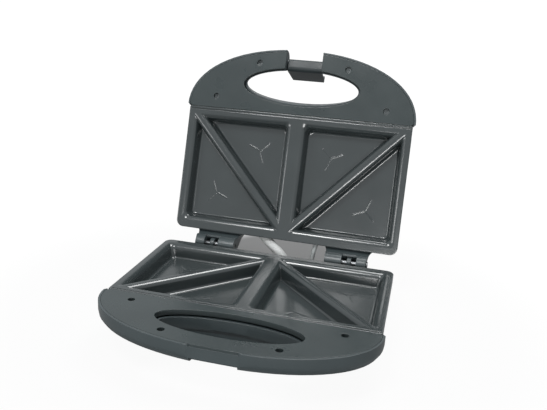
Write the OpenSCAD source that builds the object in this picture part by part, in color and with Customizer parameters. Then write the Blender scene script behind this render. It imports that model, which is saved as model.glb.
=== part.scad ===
// Sandwich toaster: two hinged halves with cast plates, a front latch and the parts inside.
// Both halves are drawn from a datum at the middle of the plate's hinge edge, on the plate's
// rim plane, with x across, y to the back and the plate facing up. The upper half is then
// turned over and swung open about the hinge.

/* [Plates] */
// Width of each cooking plate
plate_w = 222; // [210:1:236]
// Depth of each cooking plate from the handle seam to the hinge edge
plate_d = 123; // [117:1:131]
// Thickness of the cast plate
plate_t = 1.8; // [1.5:0.1:2]
// Height of the skirt round the sides and back of a plate
skirt_h = 4; // [3:0.5:5]
// Corner radius of a plate at the hinge end
plate_r = 7; // [5:0.5:9]
// Flat margin round the pockets
margin = 5; // [4.5:0.5:7]
// Width of the border between the front groove of a plate and its handle
border = 3; // [2:0.5:4]
// Depth of the triangular pockets
pocket_h = 13; // [11:0.5:13.5]
// Slope of a pocket wall, measured across from rim to floor
pocket_slope = 6.5; // [5:0.5:8]
// Width of the ridge between the two sandwiches
ridge_w = 11; // [8:0.5:14]
// Width of the diagonal cutting ridges
cut_w = 6.6; // [5:0.2:8]
// Radius of the pocket corners seen from above
pocket_r = 4; // [3:0.5:5]

/* [Handles] */
// Reach of the handles beyond the plate seam
handle_reach = 63; // [61:1:67]
// How far a handle stands out past the plate at each side
handle_proud = 2.5; // [1.5:0.5:4]
// Fullness of the handle curve, where 2 is an ellipse
handle_power = 2.15; // [2.05:0.05:2.5]
// Thickness of a handle
handle_t = 16; // [15.5:0.5:18]
// Half width of the finger hole
hole_a = 57.8; // [50:0.1:60]
// Half depth of the finger hole
hole_b = 18.5; // [16:0.5:18.5]
// Distance of the finger hole's centre from the seam
hole_at = 26.8; // [25.5:0.1:27]
// Thickness of the handle covers
cover_t = 2; // [1.9:0.1:2.6]
// Depth of the lip round the finger hole in a cover
lip_h = 4.5; // [3.5:0.5:6]

/* [Mouldings] */
// Wall thickness of the moulded halves
wall = 2.4; // [2:0.1:2.8]
// Depth of each half from the plate rim to its flat outside
half_h = 36; // [35:0.5:40]
// How much each half narrows towards its flat outside, per side
taper = 7; // [4:0.5:8]
// Height of the rubber feet under the base
foot_h = 4; // [3:0.5:6]
// How far the hinge deck stands behind the plate
deck_d = 24; // [23:0.5:28]
// Depth of the hinge deck below the plate rim
deck_drop = 14; // [13.5:0.5:14.5]

/* [Hinge] */
// Space between the two plates when the lid is shut
plate_gap = 2; // [1.5:0.1:2.5]
// Opening angle of the lid
open_angle = 106.3; // [98:0.1:108]
// Distance of the hinge pins behind the plate edge
hinge_y = 12.6; // [12:0.1:13.5]
// Radius of the steel hinge pins
pin_r = 2.6; // [2:0.1:3]
// How far each hinge stands in from the side of the plate
hinge_in = 43; // [39:1:49]
// Width of the slot in a lid arm
slot_w = 14; // [11:0.5:15]
// Width of the inner block of a lid arm
block_w = 16; // [12:0.5:18]
// Width of the outer ear of a lid arm
ear_w = 9; // [6:0.5:10]
// Thickness of a base lug
lug_w = 4; // [3:0.5:6]

/* [Latch] */
// Width of the latch clip at its pivot
latch_w = 34.6; // [30:0.2:36]
// Thickness of the latch clip's face
latch_t = 2.1; // [1.8:0.1:2.2]
// Angle that the clip folds back from its locked position
clip_fold = 171.3; // [165:0.1:171.5]

/* [Heating] */
// Diameter of the tubular heaters
heater_d = 6.4; // [5.6:0.2:6.8]
// Thickness of the sheet metal parts
sheet = 0.8; // [0.6:0.1:1]
// Diameter of the insulating sleeve over the leads to the lid
sleeve_d = 9; // [7:0.5:9.5]
// Diameter of the earth lead to the lid
earth_d = 4.4; // [3:0.2:5]

/* [Hidden] */

far = 400;
fit = 0.3;
touch = 0.05;

half_w = plate_w / 2;
front_y = -plate_d - handle_reach;
handle_a = half_w + handle_proud;
moulding_w = half_w - plate_t - fit;
back_y = -plate_t - fit;
corner_r = plate_r - plate_t - 0.2;
rim_z = half_h + foot_h;
hinge_z = plate_gap / 2 - 4.5;
hinge_x = half_w - hinge_in;

// ---- outlines and lofts -------------------------------------------------------------------

front_steps = 37;
end_chamfer = 2.2;
bend_steps = 10;
corner_steps = 5;

function unit(v) = v / norm(v);

function arc(c, r, a0, a1, n) =
    [for (i = [0 : n]) let (t = a0 + (a1 - a0) * i / n) c + r * [cos(t), sin(t)]];

function signed_power(v, p) = (v < 0 ? -1 : 1) * pow(abs(v), p);

function lift(points, z) = [for (p = points) [p.x, p.y, z]];

// Front half of a superellipse, from its left end through the front to its right end.
// Its two ends are chamfered.
function handle_curve(inset, seam) =
    let (a = handle_a - inset, b = seam - front_y - inset)
    concat(
        [[end_chamfer - a, seam], [0.2 - a, seam - end_chamfer]],
        [for (i = [1 : front_steps - 1]) let (t = 180 * i / front_steps)
            [-a * signed_power(cos(t), 2 / handle_power),
             seam - b * signed_power(sin(t), 2 / handle_power)]],
        [[a - 0.2, seam - end_chamfer], [a - end_chamfer, seam]]);

// Front edge of a tub: two rounded corners with a straight between them.
function tub_front(a, front, bend) =
    let (n = front_steps + 2 - 2 * bend_steps, s = a - bend)
    concat(
        arc([-s, front + bend], bend, 180, 270, bend_steps),
        [for (i = [1 : n - 1]) [-s + 2 * s * i / n, front]],
        arc([s, front + bend], bend, 270, 360, bend_steps));

// Whole outline, counter-clockwise from the right side by way of the back.
function outline(a, back, r, side, front) = concat(
    [[a, side]],
    arc([a - r, back - r], r, 0, 90, corner_steps),
    arc([r - a, back - r], r, 90, 180, corner_steps),
    [[-a, side]],
    front);
front_hub = 2 * (corner_steps + 2) + floor(front_steps / 2) + 1;

function handle_ring(a, back, inset, z) =
    lift(outline(a, back, corner_r, 1 - plate_d, handle_curve(inset, -plate_d)), z);

function tub_ring(a, back, r, front, z, bend = tub_r) =
    lift(outline(a, back, r, -plate_d / 2, tub_front(a, front, bend)), z);

// Solid through a list of rings, lowest first, each counter-clockwise seen from the far end.
// The caps are fans, the upper one from the point numbered hub.
module loft(rings, hub = 0) {
    n = len(rings[0]);
    top = (len(rings) - 1) * n;
    function at(i) = top + (i + hub) % n;
    polyhedron(
        points = [for (r = rings) each r],
        faces = concat(
            [for (i = [1 : n - 2]) [0, i, i + 1]],
            [for (i = [1 : n - 2]) [at(0), at(i + 1), at(i)]],
            [for (j = [0 : len(rings) - 2]) for (i = [0 : n - 1])
                [j * n + i, (j + 1) * n + i, (j + 1) * n + (i + 1) % n]],
            [for (j = [0 : len(rings) - 2]) for (i = [0 : n - 1])
                [j * n + i, (j + 1) * n + (i + 1) % n, j * n + (i + 1) % n]]));
}

// Upright panel between two depths with its own corner radii at the front and the back.
module panel(a, front, back, r_front, r_back, z0, z1) {
    translate([0, 0, z0]) linear_extrude(z1 - z0) polygon(concat(
        arc([a - r_front, front + r_front], r_front, 270, 360, 6),
        arc([a - r_back, back - r_back], r_back, 0, 90, 6),
        arc([r_back - a, back - r_back], r_back, 90, 180, 6),
        arc([r_front - a, front + r_front], r_front, 180, 270, 6)));
}

// Profile drawn in the y-z plane and run across x between two places.
module across(x0, x1) {
    translate([x0, 0, 0]) rotate([90, 0, 90]) linear_extrude(x1 - x0) children();
}

module oval(inset, z0, z1) {
    translate([0, -plate_d - hole_at, z0]) linear_extrude(z1 - z0)
        polygon([for (i = [0 : 71]) [(hole_a - inset) * cos(5 * i), (hole_b - inset) * sin(5 * i)]]);
}

// Oval ring of the finger hole, drawn in across and along and moved away from the plate.
function oval_ring(across, along, away, z) =
    [for (i = [0 : 71]) [(hole_a - across) * cos(5 * i),
        (hole_b - along) * sin(5 * i) - plate_d - hole_at - away, z]];

// ---- placing the halves -------------------------------------------------------------------

// Place of a point of the open lid's side view, as [y, z] from the datum.
function opened(y, z) = let (u = y - hinge_y, w = plate_gap - z - hinge_z) [
    hinge_y + cos(open_angle) * u + sin(open_angle) * w,
    hinge_z - sin(open_angle) * u + cos(open_angle) * w];

latch_y = front_y + 9.7;
latch_z = 5.5 - handle_t;
clip_face = 9.5;
clip_drop = plate_gap - latch_z + handle_t;
clip_turn = clip_fold - open_angle;
clip_pivot = opened(latch_y, latch_z);
hook_tip = 3.4;
rear_y = clip_pivot.x + clip_drop * sin(clip_turn) - hook_tip * cos(clip_turn);

module on_base() translate([0, -(front_y + rear_y) / 2, rim_z]) children();

module on_lid() on_base() translate([0, hinge_y, hinge_z]) rotate([-open_angle, 0, 0])
    translate([0, -hinge_y, plate_gap - hinge_z]) mirror([0, 0, 1]) children();

module on_clip() on_base() translate([0, clip_pivot.x, clip_pivot.y])
    rotate([clip_turn, 0, 0]) children();

// ---- mouldings ----------------------------------------------------------------------------

tub_r = 24;
rim_bend = tub_r - 4;
tub_y = -plate_d - 3;
round_h = 8;
ledge = 1.8;
lip = 1.05;
tray_wall = wall + 1;
seam_lap = 3.5;
boss_r = 4;
screw_r = 1.5;
head_r = 2.7;
head_h = 1.2;
oval_top = -lip_h - 0.8;
well_h = 5;
well_floor = 1.2;
well_wall = 1.2;

// Outside of one half. The base keeps the full depth of its tub under the hinge deck.
function skin(deck) =
    let (
        w = moulding_w, low = round_h - half_h, mid = taper * (half_h - round_h) / half_h,
        rear = deck ? deck_d : back_y - 1.2, lean = deck ? 1 / 7 : 1)
    [
        tub_ring(w - taper - round_h, rear - (taper + round_h - 1) * (deck ? 0.5 : 1), 7,
            tub_y + taper + round_h, -half_h),
        tub_ring(w - taper - 3, rear - lean * taper - 2.5, 9, tub_y + taper + 3, 1 - half_h),
        tub_ring(w - mid - 1.4, rear - lean * mid - 0.8, 10, tub_y + mid + 1.2, low - 3),
        tub_ring(w - mid, rear - lean * mid, 10, tub_y + mid, low),
        tub_ring(w - 2.4, rear, 9, tub_y, -handle_t - 0.6),
        handle_ring(w - 2.2, deck ? rear : back_y - 0.9, 9.5, -handle_t),
        handle_ring(w - 2.1, deck ? rear : back_y - 0.85, 5.6, -handle_t + 0.5),
        handle_ring(w - 2, deck ? rear - 0.5 : back_y - 0.8, 4, -deck_drop - 0.6),
        handle_ring(w - 1.9, back_y - 0.7, 3, -deck_drop),
        handle_ring(w - 1.5, back_y - 0.55, 0.6, -handle_t + 5.6),
        handle_ring(w - 1.2, back_y - 0.4, 0, -handle_t + 9),
        handle_ring(w, back_y, 0, 0)
    ];

// Room inside the tub, open at the top.
function tub_room(deck) =
    let (
        w = moulding_w - wall, low = round_h - half_h,
        mid = taper * (half_h - round_h) / half_h, front = tub_y + wall + 0.6,
        rear = (deck ? deck_d : back_y - 1.2) - wall, lean = deck ? 1 / 7 : 1)
    [
        tub_ring(w - taper - 5, rear - lean * taper - 5, 6, front + taper + 5, wall - half_h),
        tub_ring(w - mid - 1.4, rear - lean * mid - 1, 7, front + mid + 1.4, low - 2),
        tub_ring(w - mid, rear - lean * mid, 7, front + mid, low),
        tub_ring(w - 2.6, rear, 7, front, -deck_drop - 0.6 - wall),
        tub_ring(w - 2.4, back_y - wall - 0.8, 7, front, -deck_drop - wall),
        tub_ring(w - 0.6, back_y - wall - 0.2, 6, front, -6.5, rim_bend),
        tub_ring(moulding_w - lip, back_y - lip, corner_r - lip, front, -plate_t, rim_bend),
        tub_ring(moulding_w - lip, back_y - lip, corner_r - lip, front, 1, rim_bend)
    ];

// Room inside the handle.
function tray_room() =
    [for (s = [[6, wall - handle_t], [3, wall + 0.5 - handle_t], [0.8, wall + 2.6 - handle_t],
            [0, -8], [0, 1]])
        lift(handle_curve(tray_wall + s[0], tub_y), s[1])];

module at_cover_screws() {
    for (s = [-1, 1], p = [[0.745, 0.183], [0.387, 0.76]])
        translate([s * p.x * handle_a, -plate_d - p.y * handle_reach, 0]) children();
}

// Sleeve round the finger hole: it leans away from the plate and widens towards the outside.
sleeve_out = [
    oval_ring(-3.2, -0.1, 3.4, 1 - handle_t), oval_ring(-1.7, 0.7, 2.9, 3.2 - handle_t),
    oval_ring(fit, fit, 0, oval_top)];
sleeve_in = [
    oval_ring(-3.6, -0.4, 4.1, -handle_t - 1), oval_ring(-1.6, 1.2, 3.5, 1.2 - handle_t),
    oval_ring(0.1, 2.5, 2.9, 3.2 - handle_t), oval_ring(2.1, 2.1, 0.6, oval_top),
    oval_ring(2.1, 2.1, 0.6, 1)];

// Room for the plate's flange, the tongue at its front and the cover that laps over it.
module plate_room() {
    translate([-far, -plate_d, -plate_t]) cube([2 * far, far, far]);
    panel(half_w + 0.2, -plate_d - seam_lap - 0.4, -plate_d + 20, 1, 1, -2 * plate_t - 0.1, far);
    translate([0, 0, -cover_t - touch]) linear_extrude(far)
        polygon(handle_curve(ledge, -plate_d + touch));
}

// Everything that the two mouldings share. Children are added before the holes are cut.
module half_body(deck) {
    difference() {
        union() {
            difference() {
                loft(skin(deck), front_hub);
                loft(tub_room(deck));
                loft(tray_room());
                plate_room();
            }
            at_cover_screws() translate([0, 0, 1 - handle_t])
                cylinder(h = handle_t - 1 - well_h - 2 * touch, r = boss_r, $fn = 32);
            loft(sleeve_out);
            children();
        }
        loft(sleeve_in);
        at_cover_screws() translate([0, 0, 4 - handle_t])
            cylinder(h = far, r = screw_r, $fn = 24);
    }
}

// ---- base moulding ------------------------------------------------------------------------

lug_r = 5.6;
recess_w = 35.6;
recess_d = 2.6;
recess_side = 4;
hook_z = -11.3;
foot_r = 8;
foot_in = 33;
spigot_r = 3;
feet_at = [for (s = [-1, 1], y = [25 - plate_d, deck_d - 16]) [s * (half_w - foot_in), y]];
inlet_x = -62;
inlet_z = -25;
inlet_r = 5.5;
floor_in = wall - half_h;
sleeve_hole = [8, 11];
earth_hole = [31, 19];
clamp_half = 9;

module base_lugs() {
    for (s = [-1, 1]) across(s * hinge_x - lug_w / 2, s * hinge_x + lug_w / 2) {
        translate([hinge_y, hinge_z]) circle(r = lug_r, $fn = 64);
        polygon([
            [hinge_y - 4.6, hinge_z - 3.2], [hinge_y - 3.7, -9], [hinge_y - 5, -deck_drop - 2],
            [hinge_y + 4.6, -deck_drop - 2], [hinge_y + 3.3, -10.5], [hinge_y + 3.3, hinge_z]]);
    }
}

// Solid block behind the latch, kept clear of the handle's rounded lower edge.
module latch_block(half) {
    hole_y = -plate_d - hole_at - hole_b;
    across(-half, half) polygon([
        [front_y + 2.2, -cover_t - 2 * touch], [front_y + 2.2, -9.6], [front_y + 5, -12.4],
        [front_y + 8.2, 1 - handle_t], [hole_y + 1, 1 - handle_t], [hole_y + 1, oval_top],
        [hole_y - 1.6, oval_top], [hole_y - 1.6, -cover_t - 2 * touch]]);
}

module base_shell() color("darkslategray") on_base() difference() {
    half_body(true) {
        base_lugs();
        latch_block(recess_w / 2 + 2.4);
        for (x = [-20, 26]) translate([x, 10, floor_in - 1])
            cylinder(h = 3, r = 3, $fn = 32);
        for (s = [-1, 1]) translate([inlet_x + s * clamp_half, 8, floor_in - 1])
            cylinder(h = 5, r = 3, $fn = 32);
    }
    across(-recess_w / 2, recess_w / 2)
        translate([front_y - 9, -far]) square([18, far + hook_z]);
    translate([0, 0, hook_z - 1]) linear_extrude(far) polygon([
        [-recess_w / 2, front_y - 9], [recess_w / 2, front_y - 9],
        [recess_w / 2 + recess_side, front_y - 9], [recess_w / 2 + recess_side, front_y + 0.5],
        [recess_w / 2, front_y + recess_d], [-recess_w / 2, front_y + recess_d],
        [-recess_w / 2 - recess_side, front_y + 0.5], [-recess_w / 2 - recess_side, front_y - 9]]);
    translate([0, hinge_y, hinge_z]) rotate([0, 90, 0])
        cylinder(h = 3 * hinge_x, r = pin_r + 0.08, center = true, $fn = 64);
    translate([inlet_x, 0, inlet_z]) rotate([-90, 0, 0]) cylinder(h = far, r = inlet_r, $fn = 48);
    translate([sleeve_hole.x, sleeve_hole.y, -deck_drop - 8])
        cylinder(h = 20, r = sleeve_d / 2 + 0.7, $fn = 48);
    translate([earth_hole.x, earth_hole.y, -deck_drop - 8])
        cylinder(h = 20, r = earth_d / 2 + 0.7, $fn = 48);
    for (p = feet_at) translate([p.x, p.y, -half_h - 1]) cylinder(h = 8, r = spigot_r, $fn = 32);
    for (i = [-4 : 4]) translate([11 * i, -plate_d / 2, 0])
        panel(1.5, -22, 22, 1.4, 1.4, -half_h - 1, floor_in + 1);
}

// ---- lid moulding -------------------------------------------------------------------------

arm_x0 = hinge_x - slot_w / 2 - block_w;
slot_x0 = hinge_x - slot_w / 2;
slot_x1 = hinge_x + slot_w / 2;
arm_x1 = hinge_x + slot_w / 2 + ear_w;
axis_z = plate_gap - hinge_z;
arm_root = back_y - wall + 0.1;
hood_r = 8.4;
hood_in = 6.4;
roof_end = -51;
notch_w = latch_w + 1.4;
strip_t = 2.7;
strip_y0 = latch_y + 0.8;
strip_y1 = latch_y + 7.6;
lens_at = 13;
lens_y = 23 - plate_d;
lens_r = 4.2;
latch_pin_r = 1.25;
latch_pin_end = notch_w / 2 + 2.8;

// Side view of a hinge arm: a web out of the lid's end that becomes a round hood.
module arm_side() {
    polygon([
        [arm_root, -17], [3, -17], [hinge_y + hood_r * cos(-30), axis_z + hood_r * sin(-30)],
        [hinge_y, axis_z], [hinge_y - hood_r * cos(-15), axis_z + hood_r * sin(-15)],
        [0.6, -4.6], [arm_root, -4.6]]);
    translate([hinge_y, axis_z]) circle(r = hood_r, $fn = 96);
}

// Plan of an arm with its two hollow fillets into the lid's end.
module arm_plan() {
    inner_r = 9;
    outer_r = 10.8;
    polygon(concat(
        [[arm_x0 - inner_r, arm_root]],
        arc([arm_x0 - inner_r, back_y + inner_r], inner_r, 270, 360, 8),
        [[arm_x0, 30], [arm_x1, 30]],
        arc([arm_x1 + outer_r, back_y + outer_r], outer_r, 180, 270, 8),
        [[arm_x1 + outer_r, arm_root]]));
}

// Clearance for the base lug: the roof of the slot is left over the outside of the hinge.
module slot_side() {
    c = [hinge_y, axis_z];
    translate(c) circle(r = hood_in, $fn = 96);
    polygon([c, c + 60 * [cos(roof_end), sin(roof_end)], [80, axis_z], [80, 80], [-80, 80],
        [-80, axis_z]]);
}

module hinge_arm() {
    difference() {
        intersection() {
            translate([0, 0, -40]) linear_extrude(80) arm_plan();
            across(arm_x0 - 20, arm_x1 + 20) arm_side();
        }
        across(slot_x0, slot_x1) slot_side();
        translate([0, hinge_y, axis_z]) rotate([0, 90, 0])
            cylinder(h = far, r = pin_r + 0.03, $fn = 64);
    }
}

module lid_shell() color("darkslategray") on_lid() difference() {
    union() {
        half_body(false) {
            latch_block(notch_w / 2 + 3.4);
            for (s = [-1, 1]) translate([s * 24, lens_y, floor_in - 1])
                cylinder(h = 3, r = 3, $fn = 32);
        }
        hinge_arm();
        mirror([1, 0, 0]) hinge_arm();
    }
    across(-notch_w / 2, notch_w / 2) {
        polygon([[front_y - 9, far], [front_y - 9, -far], [strip_y0, -far],
            [strip_y0, strip_t - handle_t], [strip_y1, strip_t - handle_t], [strip_y1, -far],
            [strip_y1 + 12, -far], [strip_y1 + 12, far]]);
    }
    translate([-latch_pin_end, latch_y, latch_z]) rotate([0, 90, 0])
        cylinder(h = 2 * latch_pin_end, r = latch_pin_r + 0.03, $fn = 32);
    for (s = [-1, 1]) translate([s * lens_at, lens_y, -half_h - 1])
        cylinder(h = 8, r = lens_r + 0.1, $fn = 48);
    translate([-35, -9, -27]) cube([19, 12, 17.6]);
    translate([33, 3, -10]) rotate([90, 0, 0]) cylinder(h = 12, r = earth_d / 2 + 2.3, $fn = 48);
}

// ---- handle covers ------------------------------------------------------------------------

module cover() {
    difference() {
        union() {
            translate([0, 0, -cover_t]) linear_extrude(cover_t)
                polygon(handle_curve(ledge + fit, -plate_d - 0.2));
            oval(-1.2, -lip_h, -1);
            at_cover_screws() translate([0, 0, -well_h])
                cylinder(h = well_h - 1, r = head_r + 0.2 + well_wall, $fn = 32);
        }
        translate([-far, -plate_d - seam_lap - 0.6, -far]) cube([2 * far, 20, far - plate_t + 0.1]);
        oval(0, -far, far);
        at_cover_screws() {
            translate([0, 0, -far]) cylinder(h = 2 * far, r = screw_r + 0.2, $fn = 24);
            translate([0, 0, well_floor - well_h]) cylinder(h = far, r = head_r + 0.2, $fn = 32);
        }
        children();
    }
}

module base_handle_cover() color("dimgray") on_base() cover()
    across(-recess_w / 2, recess_w / 2)
        translate([front_y - 9, -far]) square([9 + recess_d, 2 * far]);

module lid_handle_cover() color("dimgray") on_lid() cover()
    across(-notch_w / 2, notch_w / 2)
        translate([front_y - 9, -far]) square([9 + strip_y1 - front_y + 12, 2 * far]);

// Screw with its head upwards and the head's underside on the origin.
module screw(length) {
    difference() {
        union() {
            translate([0, 0, -length]) cylinder(h = length + 0.2, r = screw_r - 0.1, $fn = 24);
            cylinder(h = head_h - 0.1, r = head_r, $fn = 32);
        }
        for (a = [0, 90]) rotate([0, 0, a + 30]) translate([-1.5, -0.35, 0.5]) cube([3, 0.7, 2]);
    }
}

module cover_screws() at_cover_screws() translate([0, 0, well_floor - well_h + touch]) screw(8);

module base_cover_screws() color("lightgray") on_base() cover_screws();
module lid_cover_screws() color("lightgray") on_lid() cover_screws();

// ---- plates -------------------------------------------------------------------------------

pocket_x0 = ridge_w / 2;
pocket_x1 = half_w - margin;
pocket_y0 = border + margin - plate_d - 0.5;
pocket_y1 = -margin;
cut_dir = unit([pocket_x1 - pocket_x0, pocket_y0 - pocket_y1]);
cut_dx = cut_w / 2 / -cut_dir.y;
cut_dy = cut_w / 2 / cut_dir.x;
inner_pocket = [
    [pocket_x0, pocket_y0], [pocket_x1 - cut_dx, pocket_y0], [pocket_x0, pocket_y1 - cut_dy]];
outer_pocket = [
    [pocket_x0 + cut_dx, pocket_y1], [pocket_x1, pocket_y0 + cut_dy], [pocket_x1, pocket_y1]];

// Inset and height of each ring of a pocket, from the floor up.
pocket_inside = [
    [pocket_slope + 3.4, -pocket_h], [pocket_slope + 1.7, 0.3 - pocket_h],
    [pocket_slope + 0.3, 1.3 - pocket_h], [pocket_slope - 0.7, 2.9 - pocket_h],
    [0, -1.1], [-0.5, -0.4], [-1.3, 0], [-1.3, 1]];
pocket_outside = [
    [pocket_slope + 2.6, -pocket_h - plate_t], [pocket_slope - 0.4, 1.4 - pocket_h - plate_t],
    [-1.6, -2], [-2.2, -1]];

// Triangle drawn in by s, with rounded corners, as a ring at height z.
function pocket_ring(v, s, z) = lift([for (i = [0 : 2])
    let (
        p = v[i], u = unit(v[(i + 2) % 3] - p), w = unit(v[(i + 1) % 3] - p),
        h = acos(u * w) / 2, c = p + unit(u + w) * (s + pocket_r) / sin(h),
        a = atan2(u.x, -u.y))
    each arc(c, pocket_r, a, a + 180 - 2 * h, corner_steps)], z);

function mirrored(ring) = [for (i = [len(ring) - 1 : -1 : 0]) [-ring[i].x, ring[i].y, ring[i].z]];

module pockets(profile) {
    for (v = [inner_pocket, outer_pocket]) {
        rings = [for (s = profile) pocket_ring(v, s[0], s[1])];
        loft(rings);
        loft([for (r = rings) mirrored(r)]);
    }
}

floor_z = -pocket_h - plate_t;
heater_z = floor_z - heater_d / 2 - 0.1;
tray_z = heater_z - heater_d / 2 - 0.1;
tray_low = tray_z - sheet;
post_r = 4;
side_post = [(pocket_x0 + pocket_x1) / 2, (pocket_y0 + pocket_y1) / 2];
mid_post_y = -0.6 * plate_d;
posts_at = [[-side_post.x, side_post.y], side_post, [0, mid_post_y]];

// Low three-armed ridge on a pocket floor, along the lines to its corners.
module floor_mark(v, side) {
    e = [norm(v[1] - v[2]), norm(v[2] - v[0]), norm(v[0] - v[1])];
    c = (v[0] * e[0] + v[1] * e[1] + v[2] * e[2]) / (e[0] + e[1] + e[2]);
    for (p = v) translate([c.x * side, c.y, -pocket_h - 0.5])
        rotate([0, 0, atan2(p.y - c.y, (p.x - c.x) * side)]) translate([1, -0.4, 0])
            cube([12, 0.8, 0.8]);
}

module cooking_plate() {
    difference() {
        union() {
            panel(half_w, -plate_d, 0, 1.8, plate_r, -plate_t, 0);
            panel(half_w - 1, -plate_d - seam_lap, -plate_d + 3, 0.6, 0.6,
                -2 * plate_t, -plate_t + touch);
            difference() {
                panel(half_w, 11 - plate_d, 0, 0.6, plate_r, -skirt_h, -plate_t + touch);
                panel(half_w - plate_t, -plate_d, -plate_t, 0.6, plate_r - plate_t, -far, far);
            }
            pockets(pocket_outside);
            for (p = posts_at) translate([p.x, p.y, tray_z])
                cylinder(h = -1 - tray_z, r = post_r, $fn = 32);
        }
        pockets(pocket_inside);
        translate([1 - half_w, border - plate_d - 0.8, -0.5]) cube([2 * half_w - 2, 0.8, 2]);
        for (p = posts_at) translate([p.x, p.y, tray_z - 1])
            cylinder(h = 9, r = screw_r, $fn = 24);
    }
    for (v = [inner_pocket, outer_pocket], s = [-1, 1]) floor_mark(v, s);
}

module base_plate() color("slategray") on_base() cooking_plate();
module lid_plate() color("slategray") on_lid() cooking_plate();

// ---- heaters and reflectors ---------------------------------------------------------------

loop_x = half_w - 27;
loop_front = 25 - plate_d;
loop_back = -0.2 * plate_d;
bend_r = 12;
leg_x = 18;
leg_bend = 8;
cold_r = 1.6;

module rod(p, q, r) {
    translate([p.x, p.y, 0]) rotate([0, 0, atan2(q.y - p.y, q.x - p.x)]) rotate([0, 90, 0])
        cylinder(h = norm(q - p), r = r, $fn = 32);
}

module elbow(x, y, r, start) {
    translate([x, y, 0]) rotate([0, 0, start]) rotate_extrude(angle = 90, $fn = 64)
        translate([r, 0]) circle(r = heater_d / 2, $fn = 32);
}

module heater() translate([0, 0, heater_z]) {
    r = heater_d / 2;
    side = loop_x - bend_r;
    rod([-side, loop_front], [side, loop_front], r);
    for (s = [-1, 1]) {
        elbow(s * side, loop_front + bend_r, bend_r, s > 0 ? 270 : 180);
        rod([s * loop_x, loop_front + bend_r], [s * loop_x, loop_back - bend_r], r);
        elbow(s * side, loop_back - bend_r, bend_r, s > 0 ? 0 : 90);
        rod([s * side, loop_back], [s * (leg_x + leg_bend), loop_back], r);
        elbow(s * (leg_x + leg_bend), loop_back + leg_bend, leg_bend, s > 0 ? 180 : 270);
        rod([s * leg_x, loop_back + leg_bend - 1], [s * leg_x, -7], cold_r);
    }
}

tray_x = half_w - 14;
tray_y0 = 15 - plate_d;
tray_y1 = -12;
tray_up = 5;

module reflector() difference() {
    panel(tray_x, tray_y0, tray_y1, 9, 9, tray_low, tray_z + tray_up);
    panel(tray_x - sheet, tray_y0 + sheet, tray_y1 - sheet, 9 - sheet, 9 - sheet, tray_z, far);
    for (p = posts_at) translate([p.x, p.y, -far])
        cylinder(h = 2 * far, r = screw_r + 0.2, $fn = 24);
    for (s = [-1, 1]) translate([s * leg_x - 5, tray_y1 - 6, -far]) cube([10, 30, 2 * far]);
}

module reflector_screws(strap) {
    for (p = posts_at) translate([p.x, p.y, tray_low - (p.x == 0 ? strap : 0) - touch])
        mirror([0, 0, 1]) screw(7);
}

module base_heater() color("gray") on_base() heater();
module lid_heater() color("gray") on_lid() heater();
module base_reflector() color("silver") on_base() reflector();
module lid_reflector() color("silver") on_lid() reflector();
module base_reflector_screws() color("lightgray") on_base() reflector_screws(sheet + touch);
module lid_reflector_screws() color("lightgray") on_lid() reflector_screws(0);

// ---- parts in the base --------------------------------------------------------------------

// Disc thermostat on a strap under the middle screw of the reflector.
thermostat_r = 10;
thermostat_gap = 2.5;
strap_l = 28;

module thermostat() color("lightslategray") on_base() {
    strap_z = tray_low - touch - sheet;
    body_h = strap_z - floor_in - thermostat_gap;
    difference() {
        translate([-5, mid_post_y - 6, strap_z]) cube([10, strap_l + 8, sheet]);
        translate([0, mid_post_y, strap_z - 1]) cylinder(h = 3, r = screw_r + 0.2, $fn = 24);
    }
    translate([0, mid_post_y + strap_l, 0]) {
        translate([0, 0, strap_z - body_h]) cylinder(h = body_h + 0.2, r = thermostat_r, $fn = 64);
        translate([0, 0, strap_z - 0.2]) cylinder(h = sheet + 0.2, r = 8, $fn = 64);
        for (s = [-1, 1]) translate([s * (thermostat_r + 2) - 4, -3, strap_z - body_h / 2])
            cube([8, 6, sheet]);
    }
}

module thermal_fuse() color("gainsboro") on_base()
    translate([32, mid_post_y + 20, tray_low - 2.5]) rotate([0, 90, 0]) {
        cylinder(h = 14, r = 2.4, center = true, $fn = 32);
        cylinder(h = 24, r = 1.4, center = true, $fn = 24);
    }

block_z = floor_in + 2 + touch;
block_h = 8.5;

module terminal_block() color("ivory") on_base() difference() {
    translate([-23, 4, block_z]) cube([52, 12, block_h]);
    for (x = [-12 : 12 : 18]) translate([x, 3, floor_in + 6.5]) rotate([-90, 0, 0])
        cylinder(h = 14, r = 2, $fn = 24);
    for (x = [-20, 26]) translate([x, 10, floor_in]) cylinder(h = 20, r = screw_r, $fn = 24);
}

module cord_clamp() color("dimgray") on_base() difference() {
    translate([inlet_x - clamp_half - 4, 4.5, floor_in + 4 + touch])
        cube([2 * clamp_half + 8, 7, 7.5]);
    translate([inlet_x, 0, inlet_z]) rotate([-90, 0, 0]) cylinder(h = 20, r = 3.3, $fn = 32);
    for (s = [-1, 1]) translate([inlet_x + s * clamp_half, 8, floor_in])
        cylinder(h = 20, r = screw_r, $fn = 24);
}

// Grommet in the back wall that the mains cord comes through.
module cord_bush() color("black") on_base() difference() {
    translate([inlet_x, 0, inlet_z]) rotate([-90, 0, 0]) {
        translate([0, 0, deck_d - 8]) cylinder(h = 9, r = inlet_r - 0.05, $fn = 48);
        translate([0, 0, deck_d + touch]) cylinder(h = 3, r = 7.5, $fn = 48);
        translate([0, 0, deck_d - 8]) cylinder(h = 2, r = 6.2, $fn = 48);
    }
    translate([inlet_x, 0, inlet_z]) rotate([-90, 0, 0]) cylinder(h = 60, r = 3.5, $fn = 48);
}

module rubber_feet() color("black") on_base() for (p = feet_at)
    translate([p.x, p.y, -half_h - foot_h]) {
        cylinder(h = foot_h - touch, r1 = foot_r - 1, r2 = foot_r, $fn = 48);
        cylinder(h = foot_h + wall, r = spigot_r - 0.05, $fn = 32);
    }

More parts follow.
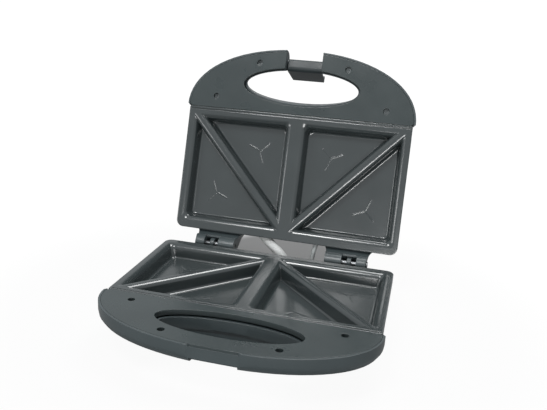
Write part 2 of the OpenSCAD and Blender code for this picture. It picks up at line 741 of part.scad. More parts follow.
// ---- hinge pins, lamps and latch ----------------------------------------------------------

module hinge_pin(side) color("lightgray") on_lid() translate([0, hinge_y, axis_z])
    rotate([0, side * 90, 0]) {
        translate([0, 0, arm_x0 + 0.4]) cylinder(h = arm_x1 - arm_x0, r = pin_r, $fn = 64);
        translate([0, 0, arm_x1 + touch]) cylinder(h = 1.4, r = 3.8, $fn = 64);
    }

module hinge_pin_left() hinge_pin(-1);
module hinge_pin_right() hinge_pin(1);

module lamp_lens(x) translate([x, lens_y, 0]) difference() {
    union() {
        translate([0, 0, -half_h - 1.5]) cylinder(h = 1.5 - touch, r = lens_r + 1, $fn = 48);
        translate([0, 0, -half_h - 0.5]) cylinder(h = wall + 3, r = lens_r, $fn = 48);
    }
    translate([0, 0, -half_h]) cylinder(h = 20, r = 3.1, $fn = 48);
}

module power_lamp_lens() color("firebrick") on_lid() lamp_lens(-lens_at);
module ready_lamp_lens() color("seagreen") on_lid() lamp_lens(lens_at);

lamp_top = tray_low - 3.3;
lamp_h = lamp_top + half_h - 1;
holder_z = lamp_top - 3.1;

module neon_lamps() color("orange") on_lid() for (s = [-1, 1])
    translate([s * lens_at, lens_y, -half_h + 1]) {
        cylinder(h = lamp_h, r = 2.4, $fn = 32);
        translate([0, 0, lamp_h - 1.7]) cylinder(h = 1.7, r = 3, $fn = 32);
    }

module lamp_holder() color("whitesmoke") on_lid() difference() {
    union() {
        translate([-28, lens_y - 5, holder_z]) cube([56, 10, 1.4]);
        for (s = [-1, 1]) translate([s * 24, lens_y, floor_in + 2 + touch])
            cylinder(h = holder_z + 1 - floor_in - 2 - touch, r = 3, $fn = 32);
    }
    for (s = [-1, 1]) translate([s * lens_at, lens_y, -far])
        cylinder(h = 2 * far, r = 3.05, $fn = 32);
}

// The latch is drawn locked about its pivot: -y is forward and it hangs down in -z.
hook_top = plate_gap - latch_z - hook_z + 0.3;
barrel_r = 2.4;
clip_foot_w = 32;
shoulder_r = 4;

module latch_clip() color("darkslategray") on_clip() difference() {
    union() {
        intersection() {
            across(-latch_w / 2, latch_w / 2) polygon(concat(
                [[0, 0], [0, barrel_r]],
                arc([shoulder_r - clip_face, barrel_r - shoulder_r], shoulder_r, 90, 180, 8),
                [[-clip_face, 1.5 - clip_drop], [1.5 - clip_face, -clip_drop]],
                [[-hook_tip - 1, -clip_drop], [-hook_tip, 1 - clip_drop], [-hook_tip, -hook_top - 0.8]],
                [[latch_t - clip_face, -hook_top]],
                arc([latch_t + 2 - clip_face, -2], 2, 180, 90, 4)));
            rotate([90, 0, 0]) linear_extrude(60, center = true) polygon([
                [-latch_w / 2, 9], [-latch_w / 2, -3], [-clip_foot_w / 2, -clip_drop],
                [clip_foot_w / 2, -clip_drop], [latch_w / 2, -3], [latch_w / 2, 9]]);
        }
        rotate([0, 90, 0]) cylinder(h = latch_w, r = barrel_r, center = true, $fn = 64);
    }
    rotate([0, 90, 0]) cylinder(h = 60, r = latch_pin_r + 0.06, center = true, $fn = 32);
}

module latch_pin() color("lightgray") on_lid() translate([0, latch_y, latch_z])
    rotate([0, 90, 0]) cylinder(h = 2 * latch_pin_end - 0.4, r = latch_pin_r, center = true, $fn = 32);

// ---- leads between the halves -------------------------------------------------------------

sleeve_route = [
    [-29.5, 45.5, 6.2], [-25.5, 38.9, 4.6], [-10.7, 24.4, -0.3], [0.6, 14, -4.5], [6, 11.5, -10],
    [8, 11, -16], [8, 11, block_z + block_h + 2]];
earth_route = [[33.5, 36, 10.2], [33, 30.9, 7.4], [31.5, 23.5, -2], [31, 19.4, -9], [31, 19, -20]];

function spline_point(a, b, c, d, t) = 0.5 * (2 * b + (c - a) * t
    + (2 * a - 5 * b + 4 * c - d) * t * t + (3 * b - a - 3 * c + d) * t * t * t);

// Smooth curve through the points of a route, with n steps a span.
function spline(p, n) = let (m = len(p) - 1) concat(
    [for (i = [0 : m - 1], k = [0 : n - 1])
        spline_point(p[max(i - 1, 0)], p[i], p[i + 1], p[min(i + 2, m)], k / n)],
    [p[m]]);

module lead(route, r) {
    p = spline(route, 3);
    m = len(p) - 1;
    loft([for (i = [0 : m])
        let (
            along = unit(p[min(i + 1, m)] - p[max(i - 1, 0)]),
            u = unit(cross(along, [1, 0, 0])), v = cross(along, u))
        [for (k = [0 : 15]) p[i] + r * (cos(22.5 * k) * u + sin(22.5 * k) * v)]]);
}

module lead_sleeve() color("gainsboro") on_base() lead(sleeve_route, sleeve_d / 2);
module earth_lead() color("lightgray") on_base() lead(earth_route, earth_d / 2);

// ---- nodes --------------------------------------------------------------------------------

base_shell();
base_handle_cover();
base_plate();
base_heater();
base_reflector();
base_reflector_screws();
base_cover_screws();
thermostat();
thermal_fuse();
terminal_block();
cord_clamp();
cord_bush();
rubber_feet();
lid_shell();
lid_handle_cover();
lid_plate();
lid_heater();
lid_reflector();
lid_reflector_screws();
lid_cover_screws();
hinge_pin_left();
hinge_pin_right();
lamp_holder();
neon_lamps();
power_lamp_lens();
ready_lamp_lens();
latch_clip();
latch_pin();
lead_sleeve();
earth_lead();
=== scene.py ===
"""Sandwich toaster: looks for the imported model, in metres, in the model's own frame."""
import math

import bpy
from mathutils import Matrix, Vector

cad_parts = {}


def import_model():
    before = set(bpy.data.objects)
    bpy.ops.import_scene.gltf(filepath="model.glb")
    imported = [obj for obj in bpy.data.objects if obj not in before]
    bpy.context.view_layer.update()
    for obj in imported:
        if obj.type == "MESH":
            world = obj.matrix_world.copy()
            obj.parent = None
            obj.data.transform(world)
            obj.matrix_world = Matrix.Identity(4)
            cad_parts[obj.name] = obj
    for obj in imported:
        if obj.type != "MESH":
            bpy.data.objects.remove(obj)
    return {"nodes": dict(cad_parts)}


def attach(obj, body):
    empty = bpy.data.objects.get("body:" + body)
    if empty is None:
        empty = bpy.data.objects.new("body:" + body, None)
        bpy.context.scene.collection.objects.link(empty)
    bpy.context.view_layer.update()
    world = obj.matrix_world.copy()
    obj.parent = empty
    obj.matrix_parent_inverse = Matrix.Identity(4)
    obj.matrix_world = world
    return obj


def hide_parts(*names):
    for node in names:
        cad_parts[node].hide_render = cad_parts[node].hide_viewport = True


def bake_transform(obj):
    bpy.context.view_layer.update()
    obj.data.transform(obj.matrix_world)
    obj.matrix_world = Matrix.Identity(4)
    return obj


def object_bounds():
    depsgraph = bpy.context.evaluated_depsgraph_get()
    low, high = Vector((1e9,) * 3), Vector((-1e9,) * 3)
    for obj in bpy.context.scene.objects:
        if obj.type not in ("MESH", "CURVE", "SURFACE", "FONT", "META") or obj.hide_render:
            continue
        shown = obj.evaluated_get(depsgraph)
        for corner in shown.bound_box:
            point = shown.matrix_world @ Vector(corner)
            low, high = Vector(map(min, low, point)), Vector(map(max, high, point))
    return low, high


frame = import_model()
cad_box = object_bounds()
nodes = frame["nodes"]
mm = 0.001


# ---- colours and materials ------------------------------------------------------------------

def linear(value):
    """An sRGB value from 0 to 255 as a linear one."""
    v = value / 255
    return v / 12.92 if v <= 0.04045 else ((v + 0.055) / 1.055) ** 2.4


def rgb(r, g, b):
    return (linear(r), linear(g), linear(b), 1)


coat_roughness = 0.12
bevel_samples = 8
noise_low, noise_high = 0.3, 0.7  # nearly all of a noise texture lies between these


class Surface:
    """A procedural material: colour, roughness and bump from noise in object space."""

    def __init__(self, name, colour, roughness, metallic=0.0, specular=0.5, coat=0.0):
        self.material = bpy.data.materials.new(name)
        self.material.use_nodes = True
        self.tree = self.material.node_tree
        self.shader = self.tree.nodes["Principled BSDF"]
        self.shader.inputs["Base Color"].default_value = colour
        self.shader.inputs["Roughness"].default_value = roughness
        self.shader.inputs["Metallic"].default_value = metallic
        self.shader.inputs["Specular IOR Level"].default_value = specular
        self.shader.inputs["Coat Weight"].default_value = coat
        self.shader.inputs["Coat Roughness"].default_value = coat_roughness
        self.place = self.add("ShaderNodeTexCoord").outputs["Object"]
        self.colour = colour
        self.roughness = roughness
        self.height = None

    def soft_edges(self, radius):
        """Edges catch the light as if they were rounded to that radius."""
        node = self.add("ShaderNodeBevel")
        node.samples = bevel_samples
        node.inputs["Radius"].default_value = radius
        self.height = node.outputs["Normal"]
        return self

    def add(self, kind):
        return self.tree.nodes.new(kind)

    def link(self, a, b):
        self.tree.links.new(a, b)

    def noise(self, size, detail=3.0, stretch=(1, 1, 1)):
        """Noise whose blobs are about size metres across."""
        mapping = self.add("ShaderNodeMapping")
        mapping.inputs["Scale"].default_value = stretch
        self.link(self.place, mapping.inputs["Vector"])
        node = self.add("ShaderNodeTexNoise")
        node.inputs["Scale"].default_value = 1 / size
        node.inputs["Detail"].default_value = detail
        self.link(mapping.outputs["Vector"], node.inputs["Vector"])
        return node.outputs["Fac"]

    def spread(self, source, low, high):
        """Map noise onto a range of values."""
        node = self.add("ShaderNodeMapRange")
        node.inputs["From Min"].default_value = noise_low
        node.inputs["From Max"].default_value = noise_high
        node.inputs["To Min"].default_value = low
        node.inputs["To Max"].default_value = high
        self.link(source, node.inputs["Value"])
        return node.outputs["Result"]

    def vary_colour(self, size, amount, detail=2.0):
        """Colour that drifts lighter and darker by that share."""
        mix = self.add("ShaderNodeMix")
        mix.data_type = "RGBA"
        r, g, b, a = self.colour
        mix.inputs["A"].default_value = (r * (1 - amount), g * (1 - amount), b * (1 - amount), a)
        mix.inputs["B"].default_value = (r * (1 + amount), g * (1 + amount), b * (1 + amount), a)
        self.link(self.spread(self.noise(size, detail), 0, 1), mix.inputs["Factor"])
        self.link(mix.outputs["Result"], self.shader.inputs["Base Color"])
        return self

    def vary_roughness(self, size, amount, detail=3.0):
        """Roughness that drifts up and down by that amount."""
        low, high = self.roughness - amount, self.roughness + amount
        self.link(self.spread(self.noise(size, detail), low, high), self.shader.inputs["Roughness"])
        return self

    def bump(self, size, depth, detail=3.0, stretch=(1, 1, 1)):
        """Relief of that depth in metres. Several calls add up."""
        node = self.add("ShaderNodeBump")
        node.inputs["Distance"].default_value = depth
        self.link(self.noise(size, detail, stretch), node.inputs["Height"])
        if self.height:
            self.link(self.height, node.inputs["Normal"])
        self.height = node.outputs["Normal"]
        self.link(self.height, self.shader.inputs["Normal"])
        return self


def moulded(name, colour, roughness, specular=0.5):
    """Moulded phenolic plastic with a fine spark-eroded grain."""
    s = Surface(name, colour, roughness, specular=specular).soft_edges(0.6 * mm)
    s.vary_colour(size=0.03, amount=0.06).vary_roughness(size=0.02, amount=0.04)
    return s.bump(size=0.0006, depth=0.00003).material


def coated(name, colour, roughness):
    """Non-stick coating on cast aluminium: fine orange peel and a soft sheen."""
    s = Surface(name, colour, roughness, specular=0.8).soft_edges(1.2 * mm)
    s.vary_colour(size=0.045, amount=0.07).vary_roughness(size=0.03, amount=0.03)
    s.bump(size=0.0011, depth=0.00002, detail=4.0)
    return s.bump(size=0.012, depth=0.00005, detail=1.0).material


def metal(name, colour, roughness, stretch=(1, 1, 1)):
    """Bare or plated metal with fine marks, drawn out where stretch isn't even."""
    s = Surface(name, colour, roughness, metallic=1.0)
    s.vary_roughness(size=0.004, amount=0.06)
    return s.bump(size=0.0009, depth=0.00001, detail=4.0, stretch=stretch).material


def woven(name, colour, roughness):
    """Braided fibre over a lead."""
    s = Surface(name, colour, roughness, specular=0.35)
    s.vary_colour(size=0.0012, amount=0.16)
    return s.bump(size=0.0011, depth=0.00018, detail=2.0, stretch=(1, 1, 0.5)).material


def clear(name, colour, roughness, transmission):
    """Tinted glass or plastic that lets that share of the light through."""
    s = Surface(name, colour, roughness, coat=0.6)
    s.shader.inputs["Transmission Weight"].default_value = transmission
    s.vary_roughness(size=0.002, amount=0.03)
    return s.bump(size=0.0022, depth=0.00005, detail=1.0).material


# The shells and the handle covers are one plastic. The shells' colour is painted lighter than the
# covers', as painted light for what the base's front wall takes from below.
moulding = moulded("moulding", rgb(57, 65, 67), 0.34)
cover_plastic = moulded("cover", rgb(47, 55, 56), 0.3)
# The latch clip is the shells' plastic painted darker, as painted shade on the clip.
clip_plastic_painted_shade = moulded("clip", rgb(38, 45, 47), 0.42, specular=0.4)
coating = coated("coating", rgb(48, 54, 55), 0.19)
steel = metal("plated_steel", rgb(120, 122, 124), 0.34)
# Plated screw steel painted darker, as painted shade for the deep wells that the cover screws sit
# in.
shaded_screw_steel = metal("screw_steel_painted_shade", rgb(84, 88, 89), 0.5)
heater_metal = metal("heater_tube", rgb(122, 120, 116), 0.42)
sheet_metal = metal("reflector_sheet", rgb(206, 208, 210), 0.24, stretch=(1, 12, 1))
thermostat_metal = metal("thermostat", rgb(182, 180, 172), 0.34)
sleeve_cloth = woven("glass_sleeve", rgb(186, 188, 187), 0.62)
earth_cloth = woven("earth_wire", rgb(150, 154, 154), 0.6)
ceramic = moulded("ceramic", rgb(226, 221, 205), 0.3)
white_plastic = moulded("white_plastic", rgb(222, 222, 216), 0.45)
clamp_plastic = moulded("clamp_plastic", rgb(40, 40, 42), 0.5)
rubber = moulded("rubber", rgb(26, 26, 27), 0.7, specular=0.3)
red_lens = clear("red_lens", rgb(186, 28, 22), 0.12, transmission=0.35)
green_lens = clear("green_lens", rgb(34, 150, 70), 0.12, transmission=0.35)
neon_glass = clear("neon_glass", rgb(236, 176, 130), 0.1, transmission=0.6)

finishes = {
    "base_shell": moulding, "lid_shell": moulding,
    "base_handle_cover": cover_plastic, "lid_handle_cover": cover_plastic,
    "base_plate": coating, "lid_plate": coating,
    "base_heater": heater_metal, "lid_heater": heater_metal,
    "base_reflector": sheet_metal, "lid_reflector": sheet_metal,
    "base_reflector_screws": steel, "lid_reflector_screws": steel,
    "base_cover_screws": shaded_screw_steel, "lid_cover_screws": shaded_screw_steel,
    "hinge_pin_left": steel, "hinge_pin_right": steel, "latch_pin": steel,
    "thermostat": thermostat_metal, "thermal_fuse": sleeve_cloth,
    "terminal_block": ceramic, "cord_clamp": clamp_plastic,
    "cord_bush": rubber, "rubber_feet": rubber,
    "lamp_holder": white_plastic, "neon_lamps": neon_glass,
    "power_lamp_lens": red_lens, "ready_lamp_lens": green_lens,
    "latch_clip": clip_plastic_painted_shade, "lead_sleeve": sleeve_cloth, "earth_lead": earth_cloth,
}


weld_distance = 0.01 * mm
face_weight = 80
cad_crease = 38
casting_crease = 25


def dress(obj, material):
    """Give the object that material alone."""
    obj.data.materials.clear()
    obj.data.materials.append(material)


def smooth(obj, angle):
    """Shade curved walls as one surface. Edges sharper than angle stay sharp, and flats flat."""
    obj.data.shade_smooth()
    weld = obj.modifiers.new("weld", "WELD")
    weld.merge_threshold = weld_distance
    sharp = obj.modifiers.new("sharp", "EDGE_SPLIT")
    sharp.split_angle = math.radians(angle)
    even = obj.modifiers.new("even", "WEIGHTED_NORMAL")
    even.weight = face_weight


# ---- places of the two halves ---------------------------------------------------------------

# Each half has its own frame in millimetres: its plate's hinge edge is at y 0, the handle lies
# towards -y, and the plate's top is at z 0.
edge_y, edge_z = 40.32, 40  # where the base's frame lies in the model
hinge_y, hinge_z = 12.6, -3.5
plate_gap = 2  # between the two plates when the lid is shut
open_angle = 106.3

base_place = Matrix.Translation((0, edge_y * mm, edge_z * mm)) @ Matrix.Scale(mm, 4)
hinge = Matrix.Translation((0, hinge_y, hinge_z))
lid_turn = Matrix.Rotation(math.radians(-open_angle), 4, "X")
shut = (Matrix.Translation((0, -hinge_y, plate_gap - hinge_z))
        @ Matrix.Scale(-1, 4, (0, 0, 1)))
lid_place = base_place @ hinge @ lid_turn @ shut


# ---- shapes shared by the finer pieces ------------------------------------------------------

panel_steps = 10  # spans in each corner of a panel


def arc(cx, cy, r, a0, a1, n):
    """Points along an arc, angles in degrees."""
    turns = [math.radians(a0 + (a1 - a0) * i / n) for i in range(n + 1)]
    return [(cx + r * math.cos(t), cy + r * math.sin(t)) for t in turns]


def unit(x, y):
    """A direction in the plan, one long."""
    size = math.hypot(x, y)
    return x / size, y / size


def rounded_polygon(corners, inset, radius, steps):
    """A counter-clockwise polygon drawn in by inset, with every corner rounded."""
    points = []
    for i, (px, py) in enumerate(corners):
        ax, ay = corners[i - 1]
        bx, by = corners[(i + 1) % len(corners)]
        ux, uy = unit(ax - px, ay - py)
        wx, wy = unit(bx - px, by - py)
        half = math.acos(ux * wx + uy * wy) / 2
        mx, my = unit(ux + wx, uy + wy)
        reach = (inset + radius) / math.sin(half)
        start = math.degrees(math.atan2(ux, -uy))
        points += arc(px + mx * reach, py + my * reach, radius, start,
                      start + 180 - 2 * math.degrees(half), steps)
    return points


def panel(a, front, back, r_front, r_back, steps=panel_steps):
    """Plan of a plate: half width a, from front to back, with its corner radii."""
    return (arc(a - r_front, front + r_front, r_front, 270, 360, steps)
            + arc(a - r_back, back - r_back, r_back, 0, 90, steps)
            + arc(r_back - a, back - r_back, r_back, 90, 180, steps)
            + arc(r_front - a, front + r_front, r_front, 180, 270, steps))


def lift(points, z):
    """A plan's points at height z."""
    return [(x, y, z) for x, y in points]


def loft(name, rings):
    """Closed mesh through rings of as many points each, lowest first."""
    mesh = bpy.data.meshes.new(name)
    n = len(rings[0])
    faces = [list(range(n - 1, -1, -1)), [(len(rings) - 1) * n + i for i in range(n)]]
    for j in range(len(rings) - 1):
        for i in range(n):
            k = (i + 1) % n
            faces.append([j * n + i, j * n + k, (j + 1) * n + k, (j + 1) * n + i])
    mesh.from_pydata([p for ring in rings for p in ring], [], faces)
    obj = bpy.data.objects.new(name, mesh)
    bpy.context.collection.objects.link(obj)
    return obj


def mirrored(ring):
    """A ring on the other side of the middle, in the same winding."""
    return [(-x, y, z) for x, y, z in reversed(ring)]


def prism(name, plan, z0, z1):
    """Upright solid on that plan."""
    return loft(name, [lift(plan, z0), lift(plan, z1)])


def cut(body, tools, operation):
    """Boolean of body with each tool in turn. The tools are used up."""
    for tool in tools:
        change = body.modifiers.new("change", "BOOLEAN")
        change.operation = operation
        change.solver = "EXACT"
        change.object = tool
        depsgraph = bpy.context.evaluated_depsgraph_get()
        mesh = bpy.data.meshes.new_from_object(body.evaluated_get(depsgraph))
        body.modifiers.clear()
        old, body.data = body.data, mesh
        mesh.name = old.name
        bpy.data.meshes.remove(old)
        spent = tool.data
        bpy.data.objects.remove(tool)
        bpy.data.meshes.remove(spent)
    return body


# ---- cooking plates -------------------------------------------------------------------------

plate_w, plate_d, plate_t = 222, 123, 1.8
seam_corner, hinge_corner = 1.8, 7  # radii of the plate's corners seen from above
edge_round = 0.5
overlap = 0.05  # how far solids that are joined reach into each other

# The skirt round the sides and back, the tongue that the handle cover laps over, the groove
# beside the handle seam, and the posts that the plate stands on.
skirt_from_seam, skirt_depth = 11, 8
tongue_inset, tongue_out, tongue_in = 1, 3.5, 3
groove_y, groove_w, groove_depth = -plate_d + 2.2, 0.8, 0.5
small_corner, groove_corner = 0.6, 0.3
post_r, post_steps = 4, 39
post_places = ((-55.75, -60.25), (55.75, -60.25), (0, -0.6 * plate_d))

# Pockets. Each half of the plate has one recess, which a ridge parts into two triangles.
pocket_depth = 13
pocket_corner, pocket_corner_steps = 4, 12
post_foot = -pocket_depth - plate_t - 6.6
pocket_x0, pocket_x1 = 5.5, plate_w / 2 - 5
pocket_y0, pocket_y1 = -plate_d + 7.5, -7.9
recess_plan = [(pocket_x0, pocket_y0), (pocket_x1, pocket_y0), (pocket_x1, pocket_y1),
               (pocket_x0, pocket_y1)]
triangle_plans = ([recess_plan[0], recess_plan[1], recess_plan[3]],
                  [recess_plan[3], recess_plan[1], recess_plan[2]])

rim_start = -1.6  # where the wall leaves the flat rim, from the recess's plan
rim_round, wall_foot = 6.0, 2.2
wall_lean = math.radians(12)
inner_steps, outer_steps = 12, 6

ridge_top = -0.02  # a hair below the rim, so that no two flat faces lie in one plane
ridge_flat = 0.8
ridge_round, ridge_foot = 4.3, 2.6
ridge_lean = math.radians(8)
ridge_steps = 8
ridge_shift = 2.2  # off the recess's diagonal, towards the handle and the middle
ridge_over = 9  # how far a ridge reaches past the recess before it is cut to it

# Three-armed marks on the pocket floors, as distance from the centre, half width and height.
mark_sections = ((0.6, 0.15, 0.1), (1.2, 0.6, 0.25), (12.4, 0.6, 0.25), (13, 0.15, 0.1))
mark_steps = 8
mark_sunk = 0.6


def wall(start, top, over, foot, lean, thick, steps):
    """Side view of a pocket's or ridge's wall as (distance, height), from top to floor.

    It curves over from the flat at start, drops with that lean and meets the pocket's floor in
    a fillet. It is drawn that thickness below the surface itself.
    """
    turn = math.pi / 2 - lean
    drop = pocket_depth + top - (over + foot) * (1 - math.cos(turn))
    foot_x = start + (over + foot) * math.sin(turn) + drop * math.tan(lean)
    rows = []
    for i in range(steps + 1):
        t = turn * i / steps
        r = over - thick
        rows.append((start + r * math.sin(t), r * math.cos(t) - over + top))
    for i in range(steps + 1):
        t = turn * (1 - i / steps)
        r = foot + thick
        rows.append((foot_x - r * math.sin(t), foot - pocket_depth - r * math.cos(t)))
    return rows


def recesses(name, thick, steps, top):
    """The recess on each side of the middle ridge as a solid that reaches up to top."""
    rows = wall(rim_start, 0, rim_round, wall_foot, wall_lean, thick, steps)
    levels = rows[::-1] + [(rows[0][0], top)]
    rings = [lift(rounded_polygon(recess_plan, inset, pocket_corner, pocket_corner_steps), z)
             for inset, z in levels]
    return [loft(name, rings), loft(name, [mirrored(r) for r in rings])]


def cutting_ridges():
    """Rounded ridges that part each recess into two triangular pockets, level with the rim."""
    side = wall(ridge_flat, ridge_top, ridge_round, ridge_foot, ridge_lean, 0, ridge_steps)
    side.append((side[-1][0], -pocket_depth - 1))
    profile = side[::-1] + [(-across, z) for across, z in side]
    (ax, ay), (bx, by) = recess_plan[3], recess_plan[1]
    ux, uy = unit(bx - ax, by - ay)
    rings = []
    for x, y, way in ((bx, by, ridge_over), (ax, ay, -ridge_over)):
        x, y = x + way * ux + uy * ridge_shift, y + way * uy - ux * ridge_shift
        rings.append([(x + uy * across, y - ux * across, z) for across, z in profile])
    return [loft("ridge", rings), loft("ridge", [mirrored(r) for r in rings])]


def mark_ring(along, half, high):
    """Section of a mark's arm as (along, across, height), round above and sunk in the floor."""
    ring = [(along, half * math.cos(math.pi * i / mark_steps),
             high * math.sin(math.pi * i / mark_steps) - pocket_depth)
            for i in range(mark_steps + 1)]
    return ring + [(along, side, -pocket_depth - mark_sunk) for side in (-half, half)]


def floor_marks():
    """Low rounded ridges in three arms on each pocket floor, towards the pocket's corners."""
    bars = []
    for plan in triangle_plans:
        sides = [math.dist(plan[1], plan[2]), math.dist(plan[2], plan[0]),
                 math.dist(plan[0], plan[1])]
        cx = sum(p[0] * e for p, e in zip(plan, sides)) / sum(sides)
        cy = sum(p[1] * e for p, e in zip(plan, sides)) / sum(sides)
        for px, py in plan:
            ux, uy = unit(px - cx, py - cy)
            rings = [[(cx + ux * along + uy * across, cy + uy * along - ux * across, z)
                      for along, across, z in mark_ring(*section)]
                     for section in mark_sections]
            bars.append(loft("mark", rings))
            bars.append(loft("mark", [mirrored(r) for r in rings]))
    return bars


def plate_slab(name, half):
    """The flat of the plate with its upper edge rounded."""
    slab = [lift(panel(half, -plate_d, 0, seam_corner, hinge_corner), -plate_t)]
    for i in range(5):
        t = math.pi / 2 * i / 4
        draw = edge_round * (1 - math.cos(t))
        slab.append(lift(panel(half - draw, -plate_d + draw, -draw, seam_corner - draw,
                               hinge_corner - draw), -edge_round * (1 - math.sin(t))))
    return loft(name, slab)


def cooking_plate(name, place, flip):
    """A cast plate with its pockets, skirt and posts. A place that mirrors it needs flip."""
    half = plate_w / 2
    under = overlap - plate_t
    body = plate_slab(name, half)
    skirt = prism("skirt", panel(half, skirt_from_seam - plate_d, 0, small_corner, hinge_corner),
                  -skirt_depth, under)
    room = prism("room", panel(half - plate_t, -plate_d, -plate_t, small_corner,
                               hinge_corner - plate_t), -20, 5)
    cut(skirt, [room], "DIFFERENCE")
    tongue = prism("tongue", panel(half - tongue_inset, -plate_d - tongue_out,
                                   -plate_d + tongue_in, small_corner, small_corner),
                   -2 * plate_t, under)
    posts = [prism("post", arc(x, y, post_r, 0, 351, post_steps), post_foot, -1)
             for x, y in post_places]
    outside = recesses("outside", plate_t, outer_steps, -0.6)
    cut(body, [skirt, tongue] + posts + outside, "UNION")
    groove = prism("groove", panel(half - tongue_inset, groove_y, groove_y + groove_w,
                                   groove_corner, groove_corner), -groove_depth, 2)
    cut(body, recesses("inside", 0, inner_steps, 3) + [groove], "DIFFERENCE")
    rooms = recesses("room", plate_t / 2, outer_steps, 0.5)
    ridges = [cut(ridge, [room], "INTERSECT") for ridge, room in zip(cutting_ridges(), rooms)]
    cut(body, ridges, "UNION")
    cut(body, floor_marks(), "UNION")
    body.data.transform(place)
    if flip:
        body.data.flip_normals()
    return body


for name, material in finishes.items():
    dress(nodes[name], material)
    smooth(nodes[name], cad_crease)

for half_name, place, flip in (("base", base_place, False), ("lid", lid_place, True)):
    plate = cooking_plate(half_name + "_plate_casting", place, flip)
    dress(plate, coating)
    smooth(plate, casting_crease)
    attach(plate, half_name)
    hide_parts(half_name + "_plate")


# ---- leads to the lid -----------------------------------------------------------------------

lead_steps = 22  # rings between two points of a route
braid_relief = 0.12
braid_lay = 0.16  # turn of a strand from one ring to the next


def spline(points, steps):
    """Smooth curve through the points, with that many steps between each two."""
    route = []
    for i in range(len(points) - 1):
        a, b = points[max(i - 1, 0)], points[i]
        c, d = points[i + 1], points[min(i + 2, len(points) - 1)]
        for k in range(steps):
            t = k / steps
            route.append(0.5 * (2 * b + (c - a) * t + (2 * a - 5 * b + 4 * c - d) * t * t
                                + (3 * b - a - 3 * c + d) * t * t * t))
    return route + [points[-1]]


def lead(name, node, points, radius, strands, material):
    """Braided lead from the lid to the base, as a tube whose strands stand out a little."""
    sides = strands * 4
    route = spline([Vector(p) for p in points], lead_steps)
    side = Vector((1, 0, 0))
    rings = []
    for i, here in enumerate(route):
        ahead = route[min(i + 1, len(route) - 1)] - route[max(i - 1, 0)]
        ahead.normalize()
        side = (side - ahead * side.dot(ahead)).normalized()
        up = ahead.cross(side)
        ring = []
        for k in range(sides):
            t = 2 * math.pi * k / sides
            lay = i * braid_lay
            weave = math.sin(strands * (t + lay)) * math.sin(strands * (t - lay))
            r = radius + braid_relief * weave
            ring.append(here + side * r * math.cos(t) + up * r * math.sin(t))
        rings.append(ring)
    tube = loft(name, rings)
    tube.data.transform(base_place)
    tube.data.shade_smooth()
    dress(tube, material)
    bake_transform(tube)
    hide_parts(node)


lead("braided_sleeve", "lead_sleeve",
     [(-29.5, 45.5, 6.2), (-25.5, 38.9, 4.6), (-10.7, 24.4, -0.3), (0.6, 14, -4.5),
      (6, 11.5, -10), (8, 11, -16), (8, 11, -21.05)],
     4.4, 8, sleeve_cloth)
lead("braided_earth_lead", "earth_lead",
     [(33.5, 36, 10.2), (33, 30.9, 7.4), (31.5, 23.5, -2), (31, 19.4, -9), (31, 19, -20)],
     2.15, 6, earth_cloth)


# ---- camera, floor and light ----------------------------------------------------------------

floor_z = cad_box[0][2]
camera_place = (0.1225, -0.5144, 0.2679)
camera_tilt = math.radians(30)  # a level camera that looks along y is tilted down by this
camera_turn = Vector((-0.224, -0.202, -0.150))  # and then turned about this axis by its length
focal_length, sensor_width = 42.17, 36

camera_data = bpy.data.cameras.new("camera")
camera_data.sensor_fit = "HORIZONTAL"
camera_data.sensor_width = sensor_width
camera_data.lens = focal_length
camera = bpy.data.objects.new("camera", camera_data)
level = Matrix(((1, 0, 0), (0, math.sin(camera_tilt), math.cos(camera_tilt)),
                (0, -math.cos(camera_tilt), math.sin(camera_tilt))))
look = Matrix.Rotation(camera_turn.length, 3, camera_turn.normalized()) @ level
camera.matrix_world = Matrix.Translation(camera_place) @ look.transposed().to_4x4()
bpy.context.collection.objects.link(camera)
bpy.context.scene.camera = camera
bpy.context.scene.view_settings.view_transform = "Standard"

floor_size = 120
floor_and_painted_shadow_grey = (0.24, 0.24, 0.24, 1)
floor_glow = 1.05
world_colour = (0.95, 0.98, 1, 1)
world_level, seen_extra, mirrored_extra = 0.36, 0.7, 0.35


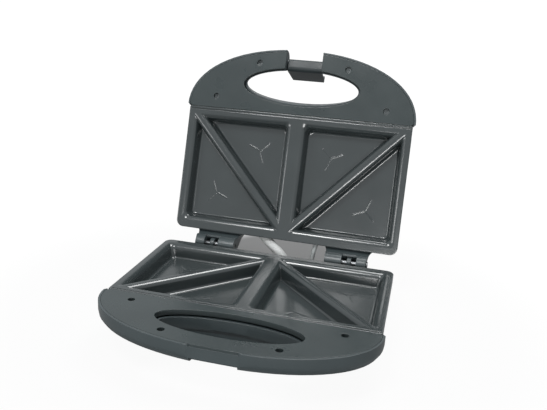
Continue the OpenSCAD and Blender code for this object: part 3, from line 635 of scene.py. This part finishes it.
def floor(fades):
    """Floor that takes the object's shadow and is a white backdrop away from it. Where a fade's
    share is nought, the grey floor shows as a painted shadow.

    Each fade is a place, how far it reaches each way, the shares of that reach where white
    starts to grow and is full, and the share of white at the place itself.
    """
    bpy.ops.mesh.primitive_plane_add(size=floor_size, location=(0, 0, floor_z))
    plane = bpy.context.object
    plane.name = "floor"
    material = bpy.data.materials.new("floor")
    material.use_nodes = True
    tree = material.node_tree
    shader = tree.nodes["Principled BSDF"]
    shader.inputs["Base Color"].default_value = floor_and_painted_shadow_grey
    shader.inputs["Roughness"].default_value = 0.9
    place = tree.nodes.new("ShaderNodeTexCoord")
    path = tree.nodes.new("ShaderNodeLightPath")
    part = path.outputs["Is Camera Ray"]
    for centre, reach, near, far, share in fades:
        offset = tree.nodes.new("ShaderNodeVectorMath")
        offset.operation = "SUBTRACT"
        offset.inputs[1].default_value = centre
        tree.links.new(place.outputs["Object"], offset.inputs[0])
        scaled = tree.nodes.new("ShaderNodeVectorMath")
        scaled.operation = "DIVIDE"
        scaled.inputs[1].default_value = reach
        tree.links.new(offset.outputs["Vector"], scaled.inputs[0])
        away = tree.nodes.new("ShaderNodeVectorMath")
        away.operation = "LENGTH"
        tree.links.new(scaled.outputs["Vector"], away.inputs[0])
        fade = tree.nodes.new("ShaderNodeMapRange")
        fade.interpolation_type = "SMOOTHSTEP"
        fade.inputs["From Min"].default_value = near
        fade.inputs["From Max"].default_value = far
        fade.inputs["To Min"].default_value = share
        fade.inputs["To Max"].default_value = 1
        tree.links.new(away.outputs["Value"], fade.inputs["Value"])
        both = tree.nodes.new("ShaderNodeMath")
        both.operation = "MULTIPLY"
        tree.links.new(part, both.inputs[0])
        tree.links.new(fade.outputs["Result"], both.inputs[1])
        part = both.outputs[0]
    glow = tree.nodes.new("ShaderNodeEmission")
    glow.inputs["Strength"].default_value = floor_glow
    join = tree.nodes.new("ShaderNodeMixShader")
    tree.links.new(part, join.inputs["Fac"])
    tree.links.new(shader.outputs[0], join.inputs[1])
    tree.links.new(glow.outputs[0], join.inputs[2])
    tree.links.new(join.outputs[0], tree.nodes["Material Output"].inputs["Surface"])
    plane.data.materials.append(material)


def world():
    """Even pale surroundings that the camera sees as white."""
    w = bpy.data.worlds.new("studio")
    bpy.context.scene.world = w
    w.use_nodes = True
    tree = w.node_tree
    background = tree.nodes["Background"]
    background.inputs["Color"].default_value = world_colour
    path = tree.nodes.new("ShaderNodeLightPath")
    level = None
    for ray, extra in (("Is Camera Ray", seen_extra), ("Is Glossy Ray", mirrored_extra)):
        add = tree.nodes.new("ShaderNodeMath")
        add.operation = "MULTIPLY_ADD"
        add.inputs[1].default_value = extra
        add.inputs[2].default_value = world_level
        tree.links.new(path.outputs[ray], add.inputs[0])
        if level:
            tree.links.new(level, add.inputs[2])
        level = add.outputs[0]
    tree.links.new(level, background.inputs["Strength"])


def softbox(name, location, target, size, power):
    """Rectangular lamp that faces the target."""
    data = bpy.data.lights.new(name, "AREA")
    data.shape = "RECTANGLE"
    data.size, data.size_y = size
    data.energy = power
    lamp = bpy.data.objects.new(name, data)
    lamp.location = location
    aim = Vector(target) - Vector(location)
    lamp.rotation_euler = aim.to_track_quat("-Z", "Y").to_euler()
    bpy.context.collection.objects.link(lamp)


# The first fade keeps the floor near the object nearly white. The second is a painted shadow behind
# the hinge: there the white is taken away, and the grey floor shows darker than the lamps alone
# would make it.
floor([((0, 0, 0), (0.2, 0.2, 1), 1, 2, 0.9),
       ((-0.015, 0.08, 0), (0.085, 0.125, 1), 0.93, 1.25, 0)])
world()
softbox("overhead", (0.22, 0.38, 1.1), (0, 0, 0.05), (0.5, 0.5), 9)
softbox("key", (-0.2, -0.6, 1.1), (0, 0, 0.05), (0.35, 0.3), 8)
softbox("low_front", (0.35, -1.3, 0.1), (0, 0, 0.04), (0.8, 0.2), 9)
softbox("front_left", (-1.2, -1.1, 0.3), (0, 0, 0.05), (0.6, 0.5), 5)
